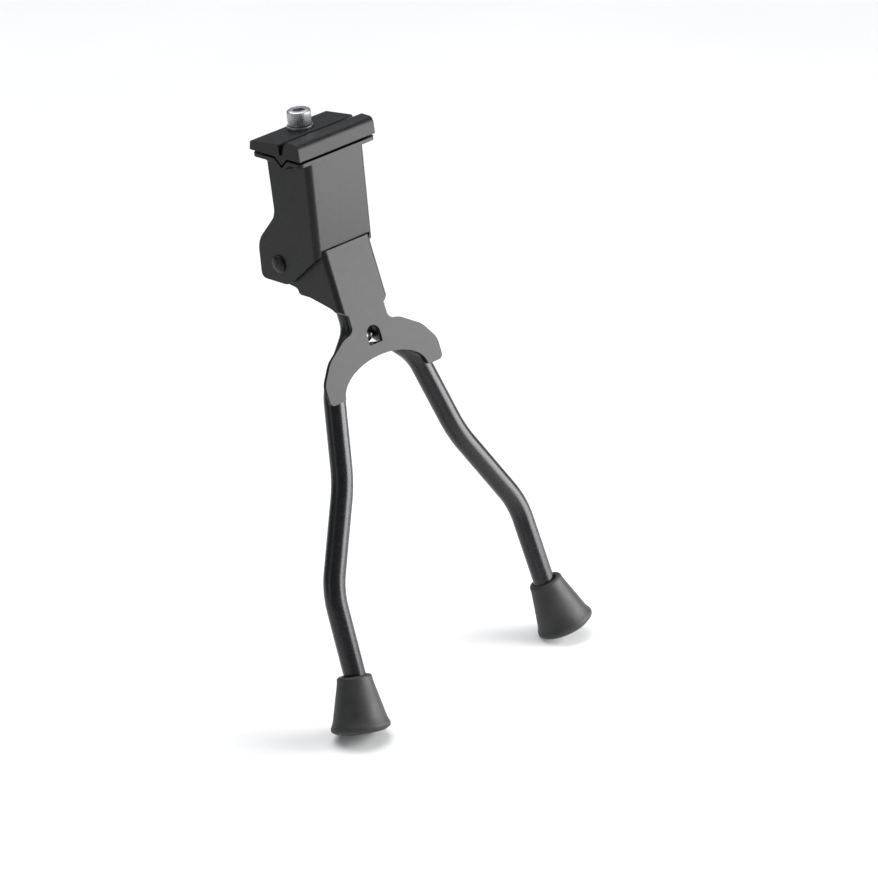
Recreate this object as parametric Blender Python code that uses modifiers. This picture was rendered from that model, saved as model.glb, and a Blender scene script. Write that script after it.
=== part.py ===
"""Bicycle double-leg centre kickstand, standing with its legs down.

Frame: metres, +Z up, -Y towards the front of the bicycle, +X to its side.
The origin is on the clamp bolt's axis, on the flat of the seat plate that
meets the chainstays from below.
"""

import math

import bmesh
import bpy
from mathutils import Matrix, Vector

MM = 0.001
FIT = 0.3 * MM

# Clamp
BOLT_RADIUS = 4.0 * MM
BOLT_LENGTH = 40.0 * MM
BOLT_HEAD_RADIUS = 6.5 * MM
BOLT_HEAD_HEIGHT = 8.0 * MM
SOCKET_ACROSS_FLATS = 6.0 * MM
SOCKET_DEPTH = 4.5 * MM
BOLT_CLEARANCE_RADIUS = 4.5 * MM
WASHER_RADIUS = 7.2 * MM
WASHER_THICKNESS = 1.6 * MM
NUT_ACROSS_FLATS = 13.0 * MM
NUT_HEIGHT = 6.5 * MM

# Seat plate and upper clamp plate: both carry one cross groove near the front
PLATE_HALF_WIDTH = 27.3 * MM
PLATE_CORNER = 3.0 * MM
SEAT_THICKNESS = 2.0 * MM
SEAT_FRONT = -28.6 * MM
SEAT_REAR = 9.6 * MM
GROOVE_FRONT = -18.3 * MM
GROOVE_BOTTOM = -13.6 * MM
GROOVE_REAR = -8.0 * MM
GROOVE_DEPTH = 4.6 * MM
PLATE_GAP = 1.3 * MM
UPPER_REAR_TOP = 6.6 * MM
UPPER_GROOVE_TOP = 8.7 * MM
UPPER_RIDGE_TOP = 10.9 * MM
UPPER_REAR = 11.2 * MM
SEATING_HEIGHT = 7.4 * MM

# Bracket: one bent sheet, a front wall and two cheeks
BRACKET_FRONT = -27.0 * MM
BRACKET_HALF_WIDTH = 20.6 * MM
BRACKET_SHEET = 2.6 * MM
BRACKET_BEND = 3.6 * MM
BRACKET_WALL_BOTTOM = -52.0 * MM
CHEEK_BOTTOM = -76.0 * MM
CHEEK_REAR = 20.3 * MM
CHEEK_WAIST = 5.0 * MM

# Fold hinge and the over-centre spring
PIVOT_Y = 5.0 * MM
PIVOT_Z = -65.0 * MM
RIVET_RADIUS = 3.5 * MM
RIVET_HEAD_RADIUS = 4.9 * MM
RIVET_HEAD_HEIGHT = 2.0 * MM
RIVET_INNER = 11.6 * MM
ANCHOR_RISE = 13.0 * MM
ANCHOR_RADIUS = 2.0 * MM
SPRING_WIRE = 1.1 * MM
SPRING_MEAN_RADIUS = 4.6 * MM
SPRING_TURNS = 11
COIL_TOP = 8.5 * MM
COIL_BOTTOM = 38.0 * MM
HOOK_RADIUS = 5.2 * MM
HOOK_BEHIND_RODS = 0.5 * MM
CROTCH_DOWN = 51.0 * MM

# Leg yoke: bent channel above, flat wishbone below; it leans forward
LEAN = math.radians(16.5)
YOKE_TOP_Y = -28.0 * MM
YOKE_TOP_Z = -52.5 * MM
YOKE_SHEET = 2.2 * MM
YOKE_HALF_WIDTH = 17.2 * MM
YOKE_BEND = 3.0 * MM
CHANNEL_END = 37.0 * MM
NECK_HALF_WIDTH = 12.8 * MM
ARM_HALF_WIDTH = 41.3 * MM
ARM_END = 78.7 * MM
ARCH_HALF_WIDTH = 30.3 * MM
ARCH_TOP = 63.2 * MM
HOOK_HOLE_HALF_WIDTH = 4.8 * MM
HOOK_HOLE_TOP = 46.4 * MM
HOOK_HOLE_BOTTOM = 56.6 * MM
TONGUE_HALF_WIDTH = 4.0 * MM
TONGUE_THICKNESS = 1.8 * MM
TONGUE_REACH = 14.0 * MM
EYE_RADIUS = 10.0 * MM
NOSE_RADIUS = 15.0 * MM

# Leg rods and rubber feet
ROD_RADIUS = 6.0 * MM
ROD_DEPTH = YOKE_SHEET + FIT + ROD_RADIUS
FOOT_TOP_RADIUS = 9.6 * MM
FOOT_BOTTOM_RADIUS = 16.2 * MM
FOOT_LENGTH = 29.5 * MM
FOOT_TOP_X = 72.3 * MM
FOOT_TOP_DOWN = 219.0 * MM
FOOT_SPLAY = math.radians(11.5)
SOLE_CROWN = 0.7 * MM

ROUND_STEPS = 32
SHARP_ANGLE = math.radians(35)
PARTS = "double_leg_kickstand"
CUTTERS = "cutters"


def clear_scene():
    for thing in list(bpy.data.objects):
        bpy.data.objects.remove(thing, do_unlink=True)
    for name in (PARTS, CUTTERS):
        group = bpy.data.collections.new(name)
        bpy.context.scene.collection.children.link(group)
    bpy.data.collections[CUTTERS].hide_render = True


def surface(name, colour, roughness, metallic):
    material = bpy.data.materials.new(name)
    material.use_nodes = True
    shader = material.node_tree.nodes["Principled BSDF"]
    shader.inputs["Base Color"].default_value = (*colour, 1.0)
    shader.inputs["Roughness"].default_value = roughness
    shader.inputs["Metallic"].default_value = metallic
    return material


BLACK_PAINT = ((0.030, 0.030, 0.032), 0.42, 0.25)
ZINC = ((0.62, 0.63, 0.64), 0.30, 1.0)
DARK_STEEL = ((0.10, 0.10, 0.11), 0.38, 0.9)
RUBBER = ((0.022, 0.022, 0.022), 0.68, 0.0)


def finish_part(part, look):
    part.data.materials.clear()
    part.data.materials.append(surface(part.name, *look))
    part.data.shade_smooth()
    part.data.set_sharp_from_angle(angle=SHARP_ANGLE)
    bpy.context.view_layer.update()
    return part


def place(name, mesh, collection=PARTS):
    mesh.name = name
    part = bpy.data.objects.new(name, mesh)
    bpy.data.collections[collection].objects.link(part)
    if collection == CUTTERS:
        part.display_type = "WIRE"
        part.hide_render = True
    return part


def weld_caps(mesh):
    shell = bmesh.new()
    shell.from_mesh(mesh)
    bmesh.ops.remove_doubles(shell, verts=shell.verts, dist=0.002 * MM)
    bmesh.ops.recalc_face_normals(shell, faces=shell.faces)
    shell.to_mesh(mesh)
    shell.free()
    return mesh


def curve_mesh(curve):
    holder = bpy.data.objects.new("outline", curve)
    bpy.context.scene.collection.objects.link(holder)
    graph = bpy.context.evaluated_depsgraph_get()
    graph.update()
    mesh = bpy.data.meshes.new_from_object(holder.evaluated_get(graph))
    bpy.data.objects.remove(holder, do_unlink=True)
    return weld_caps(mesh)


def blank(loops, low, high, u_axis, v_axis):
    """Flat blank: closed (u, v) loops, thick from low to high along u x v."""
    curve = bpy.data.curves.new("outline", "CURVE")
    curve.dimensions = "2D"
    curve.fill_mode = "BOTH"
    curve.extrude = (high - low) / 2
    for loop in loops:
        spline = curve.splines.new("POLY")
        spline.points.add(len(loop) - 1)
        for point, (u, v) in zip(spline.points, loop):
            point.co = (u, v, 0.0, 1.0)
        spline.use_cyclic_u = True
    mesh = curve_mesh(curve)
    u_axis = Vector(u_axis)
    v_axis = Vector(v_axis)
    normal = u_axis.cross(v_axis)
    turn = Matrix((u_axis, v_axis, normal)).transposed().to_4x4()
    lift = Matrix.Translation(normal * (low + high) / 2)
    mesh.transform(lift @ turn)
    return mesh


def side_blank(loop, left, right):
    """Side view (y, z) blank, from x = left to x = right."""
    return blank([loop], left, right, (0, 1, 0), (0, 0, 1))


def front_blank(loops, near, far):
    """Front view (x, z) blank, from y = near to y = far."""
    return blank(loops, -far, -near, (1, 0, 0), (0, 0, 1))


def plan_blank(loop, bottom, top):
    """Plan view (x, y) blank, from z = bottom to z = top."""
    return blank([loop], bottom, top, (1, 0, 0), (0, 1, 0))


def rounded(corners, step=math.radians(15)):
    """Closed outline with each (u, v, radius) corner turned into an arc."""
    outline = []
    count = len(corners)
    for index, (u, v, radius) in enumerate(corners):
        here = Vector((u, v))
        before = Vector(corners[index - 1][:2]) - here
        after = Vector(corners[(index + 1) % count][:2]) - here
        if radius <= 0:
            outline.append((u, v))
            continue
        half = before.angle(after) / 2
        reach = radius / math.tan(half)
        start = here + before.normalized() * reach
        end = here + after.normalized() * reach
        middle = (before.normalized() + after.normalized()).normalized()
        centre = here + middle * (radius / math.sin(half))
        pieces = max(2, math.ceil((math.pi - 2 * half) / step))
        first = start - centre
        sweep = first.angle_signed(end - centre)
        for piece in range(pieces + 1):
            arm = first.copy()
            arm.rotate(Matrix.Rotation(-sweep * piece / pieces, 2))
            outline.append(tuple(centre + arm))
    return outline


def disc(radius, steps=ROUND_STEPS, centre=(0.0, 0.0), phase=0.5):
    points = []
    for step in range(steps):
        angle = 2 * math.pi * (step + phase) / steps
        u = centre[0] + radius * math.cos(angle)
        v = centre[1] + radius * math.sin(angle)
        points.append((u, v))
    return points


def turned(name, profile, steps=ROUND_STEPS, collection=PARTS):
    """Turned piece about its own Z: (radius, z) down its outer side."""
    mesh = bpy.data.meshes.new(name)
    shell = bmesh.new()
    closed = profile[0] == profile[-1]
    corners = profile[:-1] if closed else profile
    verts = [shell.verts.new((radius, 0.0, z)) for radius, z in corners]
    for first, second in zip(verts, verts[1:]):
        shell.edges.new((first, second))
    if closed:
        shell.edges.new((verts[-1], verts[0]))
    shell.to_mesh(mesh)
    shell.free()
    part = place(name, mesh, collection)
    spin = part.modifiers.new("turn", "SCREW")
    spin.axis = "Z"
    spin.steps = steps
    spin.render_steps = steps
    spin.use_merge_vertices = True
    spin.merge_threshold = 0.01 * MM
    return part


def cut(part, cutter, operation="DIFFERENCE"):
    modifier = part.modifiers.new(cutter.name, "BOOLEAN")
    modifier.operation = operation
    modifier.solver = "EXACT"
    modifier.object = cutter
    return part


def round_cutter(name, radius, low, high, axis, centre, steps=ROUND_STEPS):
    """Cylinder cutter along X or Z through a centre given in the other two."""
    if axis == "X":
        mesh = side_blank(disc(radius, steps, centre), low, high)
    else:
        mesh = plan_blank(disc(radius, steps, centre), low, high)
    return place(name, mesh, CUTTERS)


def box_loop(left, right, bottom, top):
    return [(left, bottom), (right, bottom), (right, top), (left, top)]


def mounting(name, location, tilt=0.0, parent=None):
    """Empty on a joint axis, tilted about X."""
    holder = bpy.data.objects.new(name, None)
    bpy.data.collections[PARTS].objects.link(holder)
    holder.location = location
    holder.rotation_euler = (tilt, 0.0, 0.0)
    holder.parent = parent
    bpy.context.view_layer.update()
    return holder


def hang(part, holder):
    part.parent = holder
    return part


def seat_plate():
    under = -SEAT_THICKNESS
    shoulder = SEAT_THICKNESS * 0.46
    profile = rounded([
        (SEAT_FRONT, 0.0, 0.4 * MM),
        (SEAT_FRONT, under, 0.4 * MM),
        (GROOVE_FRONT - shoulder, under, 1.6 * MM),
        (GROOVE_BOTTOM, under - GROOVE_DEPTH, 1.6 * MM),
        (GROOVE_REAR + shoulder, under, 1.6 * MM),
        (SEAT_REAR, under, 0.4 * MM),
        (SEAT_REAR, 0.0, 0.4 * MM),
        (GROOVE_REAR, 0.0, 1.0 * MM),
        (GROOVE_BOTTOM, -GROOVE_DEPTH, 0.8 * MM),
        (GROOVE_FRONT, 0.0, 1.0 * MM),
    ], math.radians(30))
    part = place("seat_plate", side_blank(profile, -PLATE_HALF_WIDTH, PLATE_HALF_WIDTH))
    trim_corners(part, "seat_plate", SEAT_FRONT, SEAT_REAR, PLATE_HALF_WIDTH)
    bolt_hole = round_cutter("seat_bolt_hole", BOLT_CLEARANCE_RADIUS, -9 * MM, 3 * MM, "Z", (0, 0))
    cut(part, bolt_hole)
    return finish_part(part, BLACK_PAINT)


def trim_corners(part, name, front, rear, half_width):
    """Rounds the four plan-view corners of a plate."""
    plan = rounded([
        (-half_width, front, PLATE_CORNER),
        (half_width, front, PLATE_CORNER),
        (half_width, rear, PLATE_CORNER),
        (-half_width, rear, PLATE_CORNER),
    ], math.radians(30))
    trim = place(name + "_plan", plan_blank(plan, -12 * MM, 20 * MM), CUTTERS)
    cut(part, trim, "INTERSECT")


def upper_clamp_plate():
    low = PLATE_GAP
    profile = rounded([
        (SEAT_FRONT - 0.2 * MM, low, 0.6 * MM),
        (SEAT_FRONT + 0.4 * MM, UPPER_RIDGE_TOP - 0.2 * MM, 3.4 * MM),
        (-19.0 * MM, UPPER_RIDGE_TOP, 2.4 * MM),
        (-16.8 * MM, UPPER_GROOVE_TOP, 1.0 * MM),
        (GROOVE_BOTTOM - 0.9 * MM, low + 1.0 * MM, 0.5 * MM),
        (GROOVE_BOTTOM + 0.9 * MM, low + 1.0 * MM, 0.5 * MM),
        (-12.0 * MM, UPPER_GROOVE_TOP, 1.2 * MM),
        (UPPER_REAR - 1.0 * MM, UPPER_REAR_TOP, 1.4 * MM),
        (UPPER_REAR, low, 0.8 * MM),
        (GROOVE_REAR - 0.3 * MM, low, 1.0 * MM),
        (GROOVE_BOTTOM, low - GROOVE_DEPTH + 0.2 * MM, 1.2 * MM),
        (GROOVE_FRONT + 0.3 * MM, low, 1.0 * MM),
    ], math.radians(30))
    half_width = PLATE_HALF_WIDTH - 0.2 * MM
    part = place("upper_clamp_plate", side_blank(profile, -half_width, half_width))
    boss = turned("upper_boss", [(0.0, 3 * MM), (8.5 * MM, 3 * MM), (8.5 * MM, FIT), (0.0, FIT)],
                  ROUND_STEPS, CUTTERS)
    cut(part, boss, "UNION")
    seating = round_cutter("upper_seating", WASHER_RADIUS + 0.5 * MM, SEATING_HEIGHT, 14 * MM, "Z", (0, 0))
    cut(part, seating)
    bolt_hole = round_cutter("upper_bolt_hole", BOLT_CLEARANCE_RADIUS, -2 * MM, 14 * MM, "Z", (0, 0))
    cut(part, bolt_hole)
    return finish_part(part, BLACK_PAINT)


def clamp_hardware():
    washer_low = SEATING_HEIGHT + FIT
    washer_top = washer_low + WASHER_THICKNESS
    washer = turned("bolt_washer", [
        (BOLT_CLEARANCE_RADIUS, washer_top),
        (WASHER_RADIUS - 0.3 * MM, washer_top),
        (WASHER_RADIUS, washer_top - 0.3 * MM),
        (WASHER_RADIUS, washer_low),
        (BOLT_CLEARANCE_RADIUS, washer_low),
        (BOLT_CLEARANCE_RADIUS, washer_top),
    ])
    finish_part(washer, DARK_STEEL)

    head_low = washer_top + FIT
    head_top = head_low + BOLT_HEAD_HEIGHT
    tip = head_low - BOLT_LENGTH
    bolt = turned("clamp_bolt", [
        (0.0, head_top),
        (BOLT_HEAD_RADIUS - 0.8 * MM, head_top),
        (BOLT_HEAD_RADIUS - 0.2 * MM, head_top - 0.35 * MM),
        (BOLT_HEAD_RADIUS, head_top - 0.9 * MM),
        (BOLT_HEAD_RADIUS, head_low + 0.3 * MM),
        (BOLT_HEAD_RADIUS - 0.3 * MM, head_low),
        (BOLT_RADIUS, head_low),
        (BOLT_RADIUS, tip + 0.8 * MM),
        (BOLT_RADIUS - 0.8 * MM, tip),
        (0.0, tip),
    ])
    corner_radius = SOCKET_ACROSS_FLATS / math.sqrt(3)
    socket = plan_blank(disc(corner_radius, 6), head_top - SOCKET_DEPTH, head_top + MM)
    cut(bolt, place("bolt_socket", socket, CUTTERS))
    finish_part(bolt, ZINC)

    nut_top = -SEAT_THICKNESS - FIT
    nut_loop = disc(NUT_ACROSS_FLATS / math.sqrt(3), 6, phase=0.0)
    nut_mesh = plan_blank(nut_loop, nut_top - NUT_HEIGHT, nut_top)
    nut = place("clamp_nut", nut_mesh)
    nut_hole = round_cutter("nut_thread", BOLT_RADIUS + FIT, -12 * MM, 0.0, "Z", (0, 0))
    cut(nut, nut_hole)
    finish_part(nut, DARK_STEEL)


def channel_section(half_width, sheet, bend, front, rear):
    """Plan view of a U channel open to the rear."""
    inner = half_width - sheet
    return rounded([
        (-half_width, front, bend),
        (half_width, front, bend),
        (half_width, rear, 0.0),
        (inner, rear, 0.0),
        (inner, front + sheet, bend - sheet),
        (-inner, front + sheet, bend - sheet),
        (-inner, rear, 0.0),
        (-half_width, rear, 0.0),
    ], math.radians(18))


def bracket_channel():
    top = -SEAT_THICKNESS - FIT
    section = channel_section(BRACKET_HALF_WIDTH, BRACKET_SHEET, BRACKET_BEND, BRACKET_FRONT, 24 * MM)
    part = place("bracket_channel", plan_blank(section, CHEEK_BOTTOM - MM, 0.0))
    shoulder = SEAT_THICKNESS * 0.46
    side = rounded([
        (BRACKET_FRONT - 2 * MM, top, 0.0),
        (BRACKET_FRONT - 2 * MM, -54.3 * MM, 0.0),
        (BRACKET_FRONT + 0.5 * MM, -55.6 * MM, 2.0 * MM),
        (-1.5 * MM, CHEEK_BOTTOM, 11.0 * MM),
        (CHEEK_REAR, CHEEK_BOTTOM, 3.5 * MM),
        (CHEEK_REAR, -54.7 * MM, 15.0 * MM),
        (CHEEK_WAIST - 0.9 * MM, -37.0 * MM, 11.0 * MM),
        (CHEEK_WAIST + 0.8 * MM, top, 0.0),
        (GROOVE_REAR + shoulder + 0.6 * MM, top, 0.0),
        (GROOVE_BOTTOM, top - GROOVE_DEPTH - 0.3 * MM, 1.8 * MM),
        (GROOVE_FRONT - shoulder - 0.6 * MM, top, 0.0),
    ], math.radians(12))
    cut(part, place("bracket_side", side_blank(side, -24 * MM, 24 * MM), CUTTERS), "INTERSECT")
    relief_half = YOKE_HALF_WIDTH + 0.4 * MM
    relief = box_loop(-relief_half, relief_half, -60 * MM, BRACKET_WALL_BOTTOM)
    cut(part, place("bracket_wall_end", front_blank([relief], -32 * MM, -20 * MM), CUTTERS))
    pivot = round_cutter("bracket_pivot_hole", RIVET_RADIUS + FIT, -24 * MM, 24 * MM, "X", (PIVOT_Y, PIVOT_Z))
    cut(part, pivot)
    return finish_part(part, BLACK_PAINT)


def seat_welds():
    """Fillet beads along the cheeks, under the seat plate."""
    radius = 1.3 * MM
    x = BRACKET_HALF_WIDTH + FIT + radius
    z = -SEAT_THICKNESS - FIT - radius
    for side, sign in (("left", -1), ("right", 1)):
        path = [Vector((sign * x, y * MM, z)) for y in (-5.5, -2.5, 0.5, 3.5)]
        finish_part(place("seat_weld_" + side, tube(path, radius, 1)), BLACK_PAINT)


def tube(path, radius, resolution):
    """Round bar along a path, closed at both ends."""
    curve = bpy.data.curves.new("centreline", "CURVE")
    curve.dimensions = "3D"
    curve.bevel_depth = radius
    curve.bevel_resolution = resolution
    curve.use_fill_caps = True
    curve.twist_mode = "MINIMUM"
    spline = curve.splines.new("POLY")
    spline.points.add(len(path) - 1)
    for point, place_at in zip(spline.points, path):
        point.co = (*place_at, 1.0)
    return curve_mesh(curve)


def pivot_rivets():
    """One short rivet through each bracket cheek and yoke cheek."""
    face = BRACKET_HALF_WIDTH + FIT
    inner_face = YOKE_HALF_WIDTH - YOKE_SHEET - FIT
    washer_thickness = 1.2 * MM
    for side, sign in (("left", -1), ("right", 1)):
        rivet = turned("pivot_rivet_" + side, [
            (0.0, face + RIVET_HEAD_HEIGHT),
            (RIVET_HEAD_RADIUS * 0.45, face + RIVET_HEAD_HEIGHT * 0.93),
            (RIVET_HEAD_RADIUS * 0.80, face + RIVET_HEAD_HEIGHT * 0.62),
            (RIVET_HEAD_RADIUS, face + RIVET_HEAD_HEIGHT * 0.15),
            (RIVET_HEAD_RADIUS, face),
            (RIVET_RADIUS, face),
            (RIVET_RADIUS, inner_face - washer_thickness - FIT),
            (RIVET_RADIUS + 1.2 * MM, inner_face - washer_thickness - FIT),
            (RIVET_RADIUS + 0.9 * MM, RIVET_INNER + 0.3 * MM),
            (RIVET_RADIUS - 0.4 * MM, RIVET_INNER),
            (0.0, RIVET_INNER),
        ], 24)
        washer = turned("rivet_washer_" + side, [
            (RIVET_RADIUS + FIT, inner_face),
            (RIVET_HEAD_RADIUS + 0.6 * MM, inner_face),
            (RIVET_HEAD_RADIUS + 0.6 * MM, inner_face - washer_thickness),
            (RIVET_RADIUS + FIT, inner_face - washer_thickness),
            (RIVET_RADIUS + FIT, inner_face),
        ], 24)
        for piece in (rivet, washer):
            piece.location = (0.0, PIVOT_Y, PIVOT_Z)
            piece.rotation_euler = (0.0, sign * math.pi / 2, 0.0)
        finish_part(rivet, DARK_STEEL)
        finish_part(washer, DARK_STEEL)


def spring_anchor_bar():
    reach = BRACKET_HALF_WIDTH - BRACKET_SHEET - FIT
    part = turned("spring_anchor_bar", [
        (0.0, reach),
        (ANCHOR_RADIUS - 0.3 * MM, reach),
        (ANCHOR_RADIUS, reach - 0.3 * MM),
        (ANCHOR_RADIUS, -reach + 0.3 * MM),
        (ANCHOR_RADIUS - 0.3 * MM, -reach),
        (0.0, -reach),
    ], 20)
    part.location = (0.0, PIVOT_Y, PIVOT_Z + ANCHOR_RISE)
    part.rotation_euler = (0.0, math.pi / 2, 0.0)
    return finish_part(part, DARK_STEEL)


def glide(start, start_pull, end, end_pull, count):
    """Smooth run of points between two ends with given directions."""
    points = []
    for step in range(1, count):
        t = step / count
        keep = 2 * t ** 3 - 3 * t ** 2 + 1
        leave = t ** 3 - 2 * t ** 2 + t
        reach = -2 * t ** 3 + 3 * t ** 2
        arrive = t ** 3 - t ** 2
        points.append(start * keep + start_pull * leave + end * reach + end_pull * arrive)
    return points


def over_centre_spring():
    """Extension spring: ring on the anchor bar, coil, long shank, end hook."""
    ring = ANCHOR_RADIUS + FIT + 0.3 * MM + SPRING_WIRE
    path = []
    ring_steps = 14
    first = math.radians(-50)
    last = math.radians(245)
    for step in range(ring_steps + 1):
        angle = first + (last - first) * step / ring_steps
        path.append(Vector((0.0, ring * math.cos(angle), ring * math.sin(angle))))
    coil_steps = 13 * SPRING_TURNS
    coil = []
    for step in range(coil_steps + 1):
        share = step / coil_steps
        angle = math.pi + 2 * math.pi * SPRING_TURNS * share
        drop = COIL_TOP + (COIL_BOTTOM - COIL_TOP) * share
        coil.append(Vector((
            SPRING_MEAN_RADIUS * math.sin(angle),
            SPRING_MEAN_RADIUS * math.cos(angle),
            -drop,
        )))
    leave = (path[-1] - path[-2]).normalized() * 6 * MM
    arrive = (coil[1] - coil[0]).normalized() * 6 * MM
    path += glide(path[-1].copy(), leave, coil[0], arrive, 4)
    path += coil
    shank_top = Vector((0.0, 0.0, -COIL_BOTTOM - 5.0 * MM))
    leave = (coil[-1] - coil[-2]).normalized() * 8 * MM
    path += glide(coil[-1], leave, shank_top, Vector((0.0, 0.0, -8 * MM)), 5)
    path.append(shank_top)
    hook_centre = Vector((0.0, -HOOK_RADIUS, -shank_length()))
    for step in range(9):
        angle = math.radians(18.5 * step)
        spoke = Vector((0.0, math.cos(angle), -math.sin(angle)))
        path.append(hook_centre + spoke * HOOK_RADIUS)
    part = place("over_centre_spring", tube(path, SPRING_WIRE, 1))
    return finish_part(part, DARK_STEEL)


def hook_seat():
    """Centre of the hook when it bears on the rods' crotch, from the fold axis."""
    y = ROD_DEPTH + HOOK_BEHIND_RODS - yoke_depth_of_pivot()
    z = yoke_drop_of_pivot() - CROTCH_DOWN + HOOK_RADIUS
    seat = Vector((y, z))
    seat.rotate(Matrix.Rotation(-LEAN, 2))
    return seat


def hook_reach():
    """Longest working distance from anchor to hook, as the legs pass over centre."""
    return hook_seat().length + ANCHOR_RISE + 0.1 * MM


def shank_length():
    """From the anchor down the spring's own axis to beside the hook's centre."""
    return math.sqrt(hook_reach() ** 2 - HOOK_RADIUS ** 2)


def spring_swing():
    """Forward swing of the spring from straight down, legs standing."""
    seat = hook_seat()
    aim = math.atan2(-seat.x, ANCHOR_RISE - seat.y)
    return aim - math.asin(HOOK_RADIUS / hook_reach())


def yoke_side():
    """Side view of the yoke about the fold axis: nose, eye and lower edge."""
    front = -yoke_depth_of_pivot()
    top = yoke_drop_of_pivot()
    steps = 8
    outline = [(front - 2 * MM, top)]
    outline.append((front + 6 * MM, top))
    for step in range(steps + 1):
        angle = math.radians(105) + (math.radians(-3.7) - math.radians(105)) * step / steps
        outline.append((EYE_RADIUS * math.cos(angle), EYE_RADIUS * math.sin(angle)))
    nose = math.radians(-3.7)
    outline.append((NOSE_RADIUS * math.cos(nose), NOSE_RADIUS * math.sin(nose)))
    outline.append((13.3 * MM, -6.4 * MM))
    outline.append((8.5 * MM, -9.6 * MM))
    outline.append((3.0 * MM, -11.6 * MM))
    outline.append((-3.6 * MM, -14.6 * MM))
    outline.append((-4.9 * MM, -15.8 * MM))
    outline.append((-5.3 * MM, -18.0 * MM))
    outline.append((-6.6 * MM, -19.2 * MM))
    outline.append((-13.0 * MM, -21.0 * MM))
    outline.append((-21.5 * MM, -25.2 * MM))
    outline.append((-28.6 * MM, -29.0 * MM))
    outline.append((front + 4.2 * MM, -31.2 * MM))
    outline.append((front + YOKE_SHEET, top - CHANNEL_END - 0.5 * MM))
    outline.append((front - 2 * MM, top - CHANNEL_END - 0.5 * MM))
    return outline


def yoke_depth_of_pivot():
    """How far the fold axis lies behind the yoke's front face."""
    back = PIVOT_Y - YOKE_TOP_Y
    up = PIVOT_Z - YOKE_TOP_Z
    return back * math.cos(LEAN) - up * math.sin(LEAN)


def yoke_drop_of_pivot():
    """How far the fold axis lies below the yoke's top edge, down the yoke."""
    back = PIVOT_Y - YOKE_TOP_Y
    up = PIVOT_Z - YOKE_TOP_Z
    return -back * math.sin(LEAN) - up * math.cos(LEAN)


def wishbone_loop(top):
    """Front view of the flat part: neck, two arms, elliptical arch."""
    half = [
        (NECK_HALF_WIDTH, 31.5 * MM, 0.0),
        (NECK_HALF_WIDTH, 46.2 * MM, 4.0 * MM),
        (20.5 * MM, 48.2 * MM, 10.0 * MM),
        (33.8 * MM, 56.6 * MM, 12.0 * MM),
        (ARM_HALF_WIDTH, 67.0 * MM, 9.0 * MM),
        (ARM_HALF_WIDTH, ARM_END, 3.0 * MM),
    ]
    right = [(x, top - down, radius) for x, down, radius in half]
    arch = []
    steps = 18
    for step in range(steps + 1):
        angle = math.radians(6) + math.radians(168) * step / steps
        rise = (ARM_END - ARCH_TOP) * math.sin(angle)
        arch.append((ARCH_HALF_WIDTH * math.cos(angle), top - ARM_END + rise, 0.0))
    foot_of_arch = [(ARCH_HALF_WIDTH + 0.4 * MM, top - ARM_END, 1.2 * MM)]
    left = [(-x, z, radius) for x, z, radius in reversed(right)]
    left_foot = [(-ARCH_HALF_WIDTH - 0.4 * MM, top - ARM_END, 1.2 * MM)]
    return rounded(right + foot_of_arch + arch + left_foot + left)


def hook_hole_loop(top):
    radius = HOOK_HOLE_HALF_WIDTH
    return rounded([
        (-radius, top - HOOK_HOLE_BOTTOM, 0.8 * MM),
        (radius, top - HOOK_HOLE_BOTTOM, 0.8 * MM),
        (radius, top - HOOK_HOLE_TOP, radius * 0.98),
        (-radius, top - HOOK_HOLE_TOP, radius * 0.98),
    ])


def leg_yoke():
    front = -yoke_depth_of_pivot()
    top = yoke_drop_of_pivot()
    section = channel_section(YOKE_HALF_WIDTH, YOKE_SHEET, YOKE_BEND, front, 18 * MM)
    part = place("leg_yoke", plan_blank(section, top - CHANNEL_END - 4 * MM, 14 * MM))
    side = place("yoke_side", side_blank(yoke_side(), -20 * MM, 20 * MM), CUTTERS)
    cut(part, side, "INTERSECT")
    end = rounded([
        (-YOKE_HALF_WIDTH - MM, 16 * MM, 0.0),
        (YOKE_HALF_WIDTH + MM, 16 * MM, 0.0),
        (YOKE_HALF_WIDTH + MM, top - CHANNEL_END + 4.5 * MM, 1.5 * MM),
        (NECK_HALF_WIDTH + 0.6 * MM, top - CHANNEL_END, 2.0 * MM),
        (-NECK_HALF_WIDTH - 0.6 * MM, top - CHANNEL_END, 2.0 * MM),
        (-YOKE_HALF_WIDTH - MM, top - CHANNEL_END + 4.5 * MM, 1.5 * MM),
    ])
    end_cutter = place("yoke_channel_end", front_blank([end], front - 3 * MM, 20 * MM), CUTTERS)
    cut(part, end_cutter, "INTERSECT")
    loops = [wishbone_loop(top), hook_hole_loop(top)]
    wishbone = place("yoke_wishbone", front_blank(loops, front, front + YOKE_SHEET), CUTTERS)
    cut(part, wishbone, "UNION")
    tongue_top = top - HOOK_HOLE_BOTTOM
    tongue_loop = rounded([
        (-TONGUE_HALF_WIDTH, front + 0.4 * YOKE_SHEET, 0.0),
        (TONGUE_HALF_WIDTH, front + 0.4 * YOKE_SHEET, 0.0),
        (TONGUE_HALF_WIDTH, front + TONGUE_REACH, 2.5 * MM),
        (-TONGUE_HALF_WIDTH, front + TONGUE_REACH, 2.5 * MM),
    ])
    tongue_mesh = plan_blank(tongue_loop, tongue_top - TONGUE_THICKNESS, tongue_top)
    cut(part, place("yoke_tongue", tongue_mesh, CUTTERS), "UNION")
    pivot = round_cutter("yoke_pivot_hole", RIVET_RADIUS + FIT, -24 * MM, 24 * MM, "X", (0.0, 0.0))
    cut(part, pivot)
    return finish_part(part, BLACK_PAINT)


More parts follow.
